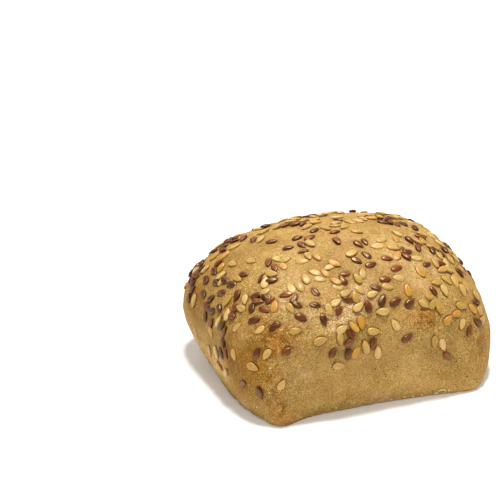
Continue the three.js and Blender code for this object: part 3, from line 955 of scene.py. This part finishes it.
paleSeedLook = {
    "dark": "#a9802e",
    "light": "#c9a863",
    "rim": "#8a6a2a",
    "toasted": "#b88020",
    "masks": {"seedRim": (0.6, 1.0, 0.5), "seedAlong": (0.9, 2.3, 0.45)},  # the rim, and the toasted tip
    "streakLength": 2.0,
    "streakWidth": 0.4,
    "streakTones": (0.78, 1.18),
    "relief": 0.8,
}


def paleSeedCoat(add):
    # Dry pale seed coat, creamy and a little waxy, so it lets some light in. Its rim is darkened to olive, a
    # painted shade of its sides, and the baking has turned the tips and some whole seeds orange brown.
    look = paleSeedLook
    streaks, colour, lined, (rimMask, tipMask), relief = seedSkin(add, look)
    toast = add("Attribute", output="Fac", attribute_name="seedToast")
    toastMask = add("Math", {0: toast, 1: tipMask}, operation="MAXIMUM")
    patchy = add("Math", {0: toastMask, 1: streaks}, operation="MULTIPLY")
    patchyFull = add("Math", {0: patchy, 1: 1.9}, operation="MULTIPLY", use_clamp=True)
    # the toasted patches, then the rim darkened as painted shade
    for mask, layer in ((patchyFull, look["toasted"]), (rimMask, look["rim"])):
        colour = add("Mix", {0: mask, 6: colour, 7: layer}, 2, data_type="RGBA")
    colour = add("Mix", {0: 1, 6: colour, 7: lined}, 2, data_type="RGBA", blend_type="MULTIPLY")
    return add("BsdfPrincipled", {
        "IOR": 1.46, "Roughness": 0.38, "Subsurface Weight": 0.08, "Subsurface Scale": 0.5 * mm,
        "Base Color": colour, "Normal": relief})


makeSeeds("linseeds", linseed, newMaterial("linseed_hull", linseedHull))
makeSeeds("pale_seeds", paleSeed, newMaterial("pale_seed_coat", paleSeedCoat))


# Crumbs and flecks of dried dough that cling to the crust

crumbs = {
    # degrees, level, length, width, turn in degrees
    "flecks": (
        (292.3, 0.012, 1.3, 0.7, 25), (296.6, 0.02, 0.9, 0.6, -30), (287, 0.015, 0.9, 0.6, -10),
        (280, 0.015, 1.2, 0.5, 5), (283.5, 0.012, 0.9, 0.5, 0), (274, 0.015, 0.8, 0.45, 0),
        (249, 0.03, 0.8, 0.45, 10), (227, 0.35, 0.6, 0.45, 60), (221, 0.09, 0.55, 0.45, 0),
        (166, 0.25, 0.6, 0.5, 40), (281, 0.44, 0.7, 0.35, 75), (227, 0.23, 0.75, 0.45, -50),
        (236, 0.02, 0.5, 0.35, 0), (302, 0.05, 0.5, 0.3, 80), (60, 0.03, 0.9, 0.5, 15),
        (98, 0.02, 0.7, 0.4, -10), (143, 0.05, 0.8, 0.45, 30), (350, 0.02, 0.8, 0.4, 5),
        (82, 0.3, 0.6, 0.4, 50),
    ),
    # a curled sliver: degrees, level, radius, turn
    "slivers": ((294.2, 0.02, 1.0, 5), (120, 0.03, 0.9, 0)),
    "sliverThickness": 0.5,
    "sliverCurl": 2.4,  # how far round its ring each half of one goes
    "sliverStretch": 1.5,
    "proud": 0.28,  # how far their middle lines lie out of the crust
    "flatness": 0.7,
    "unevenness": 0.5,
    "unevenPlaces": (3, 5.1, 0.5),  # where it is read from the noise, along a fleck and for each one
    "fleckEnds": 0.03,  # how blunt the ends are
    "sliverEnds": 0.1,
    "round": 10,
    "stations": 8,
    "colour": "#e6d09a",
    "grit": 0.25 * mm,
}


def addTube(points, faces, line, radii, across, out):
    # a closed tube of rings round a line, narrowing to its ends
    start, around = len(points), crumbs["round"]
    for centre, radius in zip(line, radii):
        for j in range(around):
            turn = 2 * math.pi * j / around
            high = crumbs["flatness"] * math.sin(turn)
            points.append(centre + radius * (math.cos(turn) * across + high * out))
    rings = [range(first, first + around) for first in range(start, len(points), around)]
    for below, above in zip(rings, rings[1:]):
        joinRings(faces, below, above)
    faces += [tuple(reversed(rings[0])), tuple(rings[-1])]


def makeCrumbs():
    c = crumbs
    points, faces = [], []
    noiseAlong, noiseApart, noiseLayer = c["unevenPlaces"]
    for i, (degrees, level, length, width, turn) in enumerate(c["flecks"]):
        centre, along, across, out = placeOn(math.radians(degrees), level, math.radians(turn))
        line, radii = [], []
        for u in np.linspace(-1, 1, c["stations"] + 1):
            uneven = 1 + c["unevenness"] * noise.noise(Vector((noiseAlong * u, noiseApart * i, noiseLayer)))
            line.append(centre + along * u * length / 2 + out * c["proud"] / 2)
            radii.append(width / 2 * uneven * math.sqrt(max(1 - u * u, c["fleckEnds"])))
        addTube(points, faces, line, radii, across, out)
    for degrees, level, radius, turn in c["slivers"]:
        centre, along, across, out = placeOn(math.radians(degrees), level, math.radians(turn))
        line, radii = [], []
        for u in np.linspace(-1, 1, 3 * c["stations"]):
            bend = c["sliverCurl"] * u
            ring = c["sliverStretch"] * math.sin(bend) * along + math.cos(bend) * across
            line.append(centre + radius * ring + out * c["proud"])
            radii.append(c["sliverThickness"] / 2 * math.sqrt(max(1 - u * u, c["sliverEnds"])))
        addTube(points, faces, line, radii, across, out)
    material = newMaterial("dried_dough", driedDough)
    meshPiece("pale_crumbs", np.clip(np.array(points), boxLow, boxHigh), faces, {}, material)


def driedDough(add):
    # Dried raw dough and flour, chalky and rough
    place = add("TexCoord", output="Object")
    grit = add("TexNoise", {"Scale": 1 / crumbs["grit"], "Detail": 2, "Vector": place})
    tone = add("MapRange", {0: grit, 1: 0.35, 2: 0.65, 3: 0.8, 4: 1.15})
    colour = add("Mix", {0: 1, 6: crumbs["colour"], 7: tone}, 2, data_type="RGBA", blend_type="MULTIPLY")
    relief = add("Bump", {"Strength": 0.8, "Distance": 0.08 * mm, "Height": grit})
    return add("BsdfPrincipled", {"Roughness": 0.85, "IOR": 1.45, "Base Color": colour, "Normal": relief})


makeCrumbs()


# The studio

studio = {
    "floorRadius": 3.0,
    "floorSides": 96,
    "floorColour": "#f4f4f2",
    "floorGlow": 0.16,
    "skyColour": "#ffffff",
    "skyStrength": 0.34,
    "aim": (0, 0, 25 * mm),
    # lights: where they stand from the roll in metres, size, watts, and whether they show in its gloss, as a
    # softbox with a polarising sheet doesn't
    "lights": (
        ("key_softbox", (0.05, 0.1, 1.2), 0.3, 19, True),
        ("back_softbox", (0.3, 1.3, 0.75), 0.8, 3.4, True),
        ("front_softbox", (0.3, -1.2, 0.5), 0.8, 3.4, False),
        ("left_softbox", (-1.1, -0.3, 0.3), 0.6, 1.6, False),
    ),
}


def opalAcrylic(add):
    # Opal acrylic sheet, sanded matt on top and lit a little from below, so that it is an even white
    place = add("TexCoord", output="Object")
    tooth = add("TexNoise", {"Scale": 1 / (0.8 * mm), "Detail": 2, "Vector": place})
    relief = add("Bump", {"Strength": 0.1, "Distance": 0.05 * mm, "Height": tooth})
    white = studio["floorColour"]
    return add("BsdfPrincipled", {
        "Base Color": white, "Roughness": 0.9, "Emission Color": white,
        "Emission Strength": studio["floorGlow"], "Normal": relief})


def makeFloor():
    turns = [2 * math.pi * i / studio["floorSides"] for i in range(studio["floorSides"])]
    radius = studio["floorRadius"]
    corners = [(radius * math.cos(turn), radius * math.sin(turn), 0) for turn in turns]
    material = newMaterial("opal_acrylic", opalAcrylic)
    addMesh("floor", corners, [tuple(range(len(corners)))], material)


def makeLights():
    for name, place, size, watts, inGloss in studio["lights"]:
        light = bpy.data.lights.new(name, "AREA")
        light.shape = "DISK"
        light.size = size
        light.energy = watts
        lamp = addObject(name, light)
        lamp.location = Vector(place)
        lamp.visible_glossy = inGloss
        lamp.rotation_mode = "QUATERNION"
        lamp.rotation_quaternion = (Vector(studio["aim"]) - Vector(place)).to_track_quat("-Z", "Y")
    world = bpy.data.worlds.new("studio_sky")
    world.use_nodes = True
    sky = world.node_tree.nodes["Background"]
    sky.inputs["Color"].default_value = linearColour(studio["skyColour"])
    sky.inputs["Strength"].default_value = studio["skyStrength"]
    bpy.context.scene.world = world
    bpy.context.scene.view_settings.view_transform = "Standard"


makeFloor()
makeLights()

photoCamera = {
    "azimuth": -23.494,  # degrees from straight in front, towards -X
    "elevation": 25.545,
    "distance": 992 * mm,
    "lens": 205.9,
    "sensor": 36,
    "seesTo": 20,
    "target": (-1.9 * mm, -0.4 * mm, 25.15 * mm),
    "targetPixel": (334.63, 295.46),  # where the target lands in the photo
    "photoSize": 500,
}


def makeCamera():
    # turned towards the target and then aside, until the target lands on its pixel
    c = photoCamera
    azimuth, elevation = math.radians(c["azimuth"]), math.radians(c["elevation"])
    back = Vector((math.sin(azimuth) * math.cos(elevation), -math.cos(azimuth) * math.cos(elevation),
                   math.sin(elevation)))
    right = Vector((math.cos(azimuth), math.sin(azimuth), 0))
    up = back.cross(right)
    focal = c["lens"] / c["sensor"] * c["photoSize"]
    half = c["photoSize"] / 2
    aim = -back * focal + right * (half - c["targetPixel"][0]) + up * (c["targetPixel"][1] - half)
    aim.normalize()
    side = aim.cross(up).normalized()
    turned = Matrix((side, side.cross(aim), -aim)).transposed()
    data = bpy.data.cameras.new("photo_camera")
    data.lens = c["lens"]
    data.sensor_width = c["sensor"]
    data.clip_end = c["seesTo"]
    camera = addObject("photo_camera", data)
    camera.matrix_world = Matrix.LocRotScale(Vector(c["target"]) + back * c["distance"], turned, None)
    bpy.context.scene.camera = camera


makeCamera()
print("studio set")
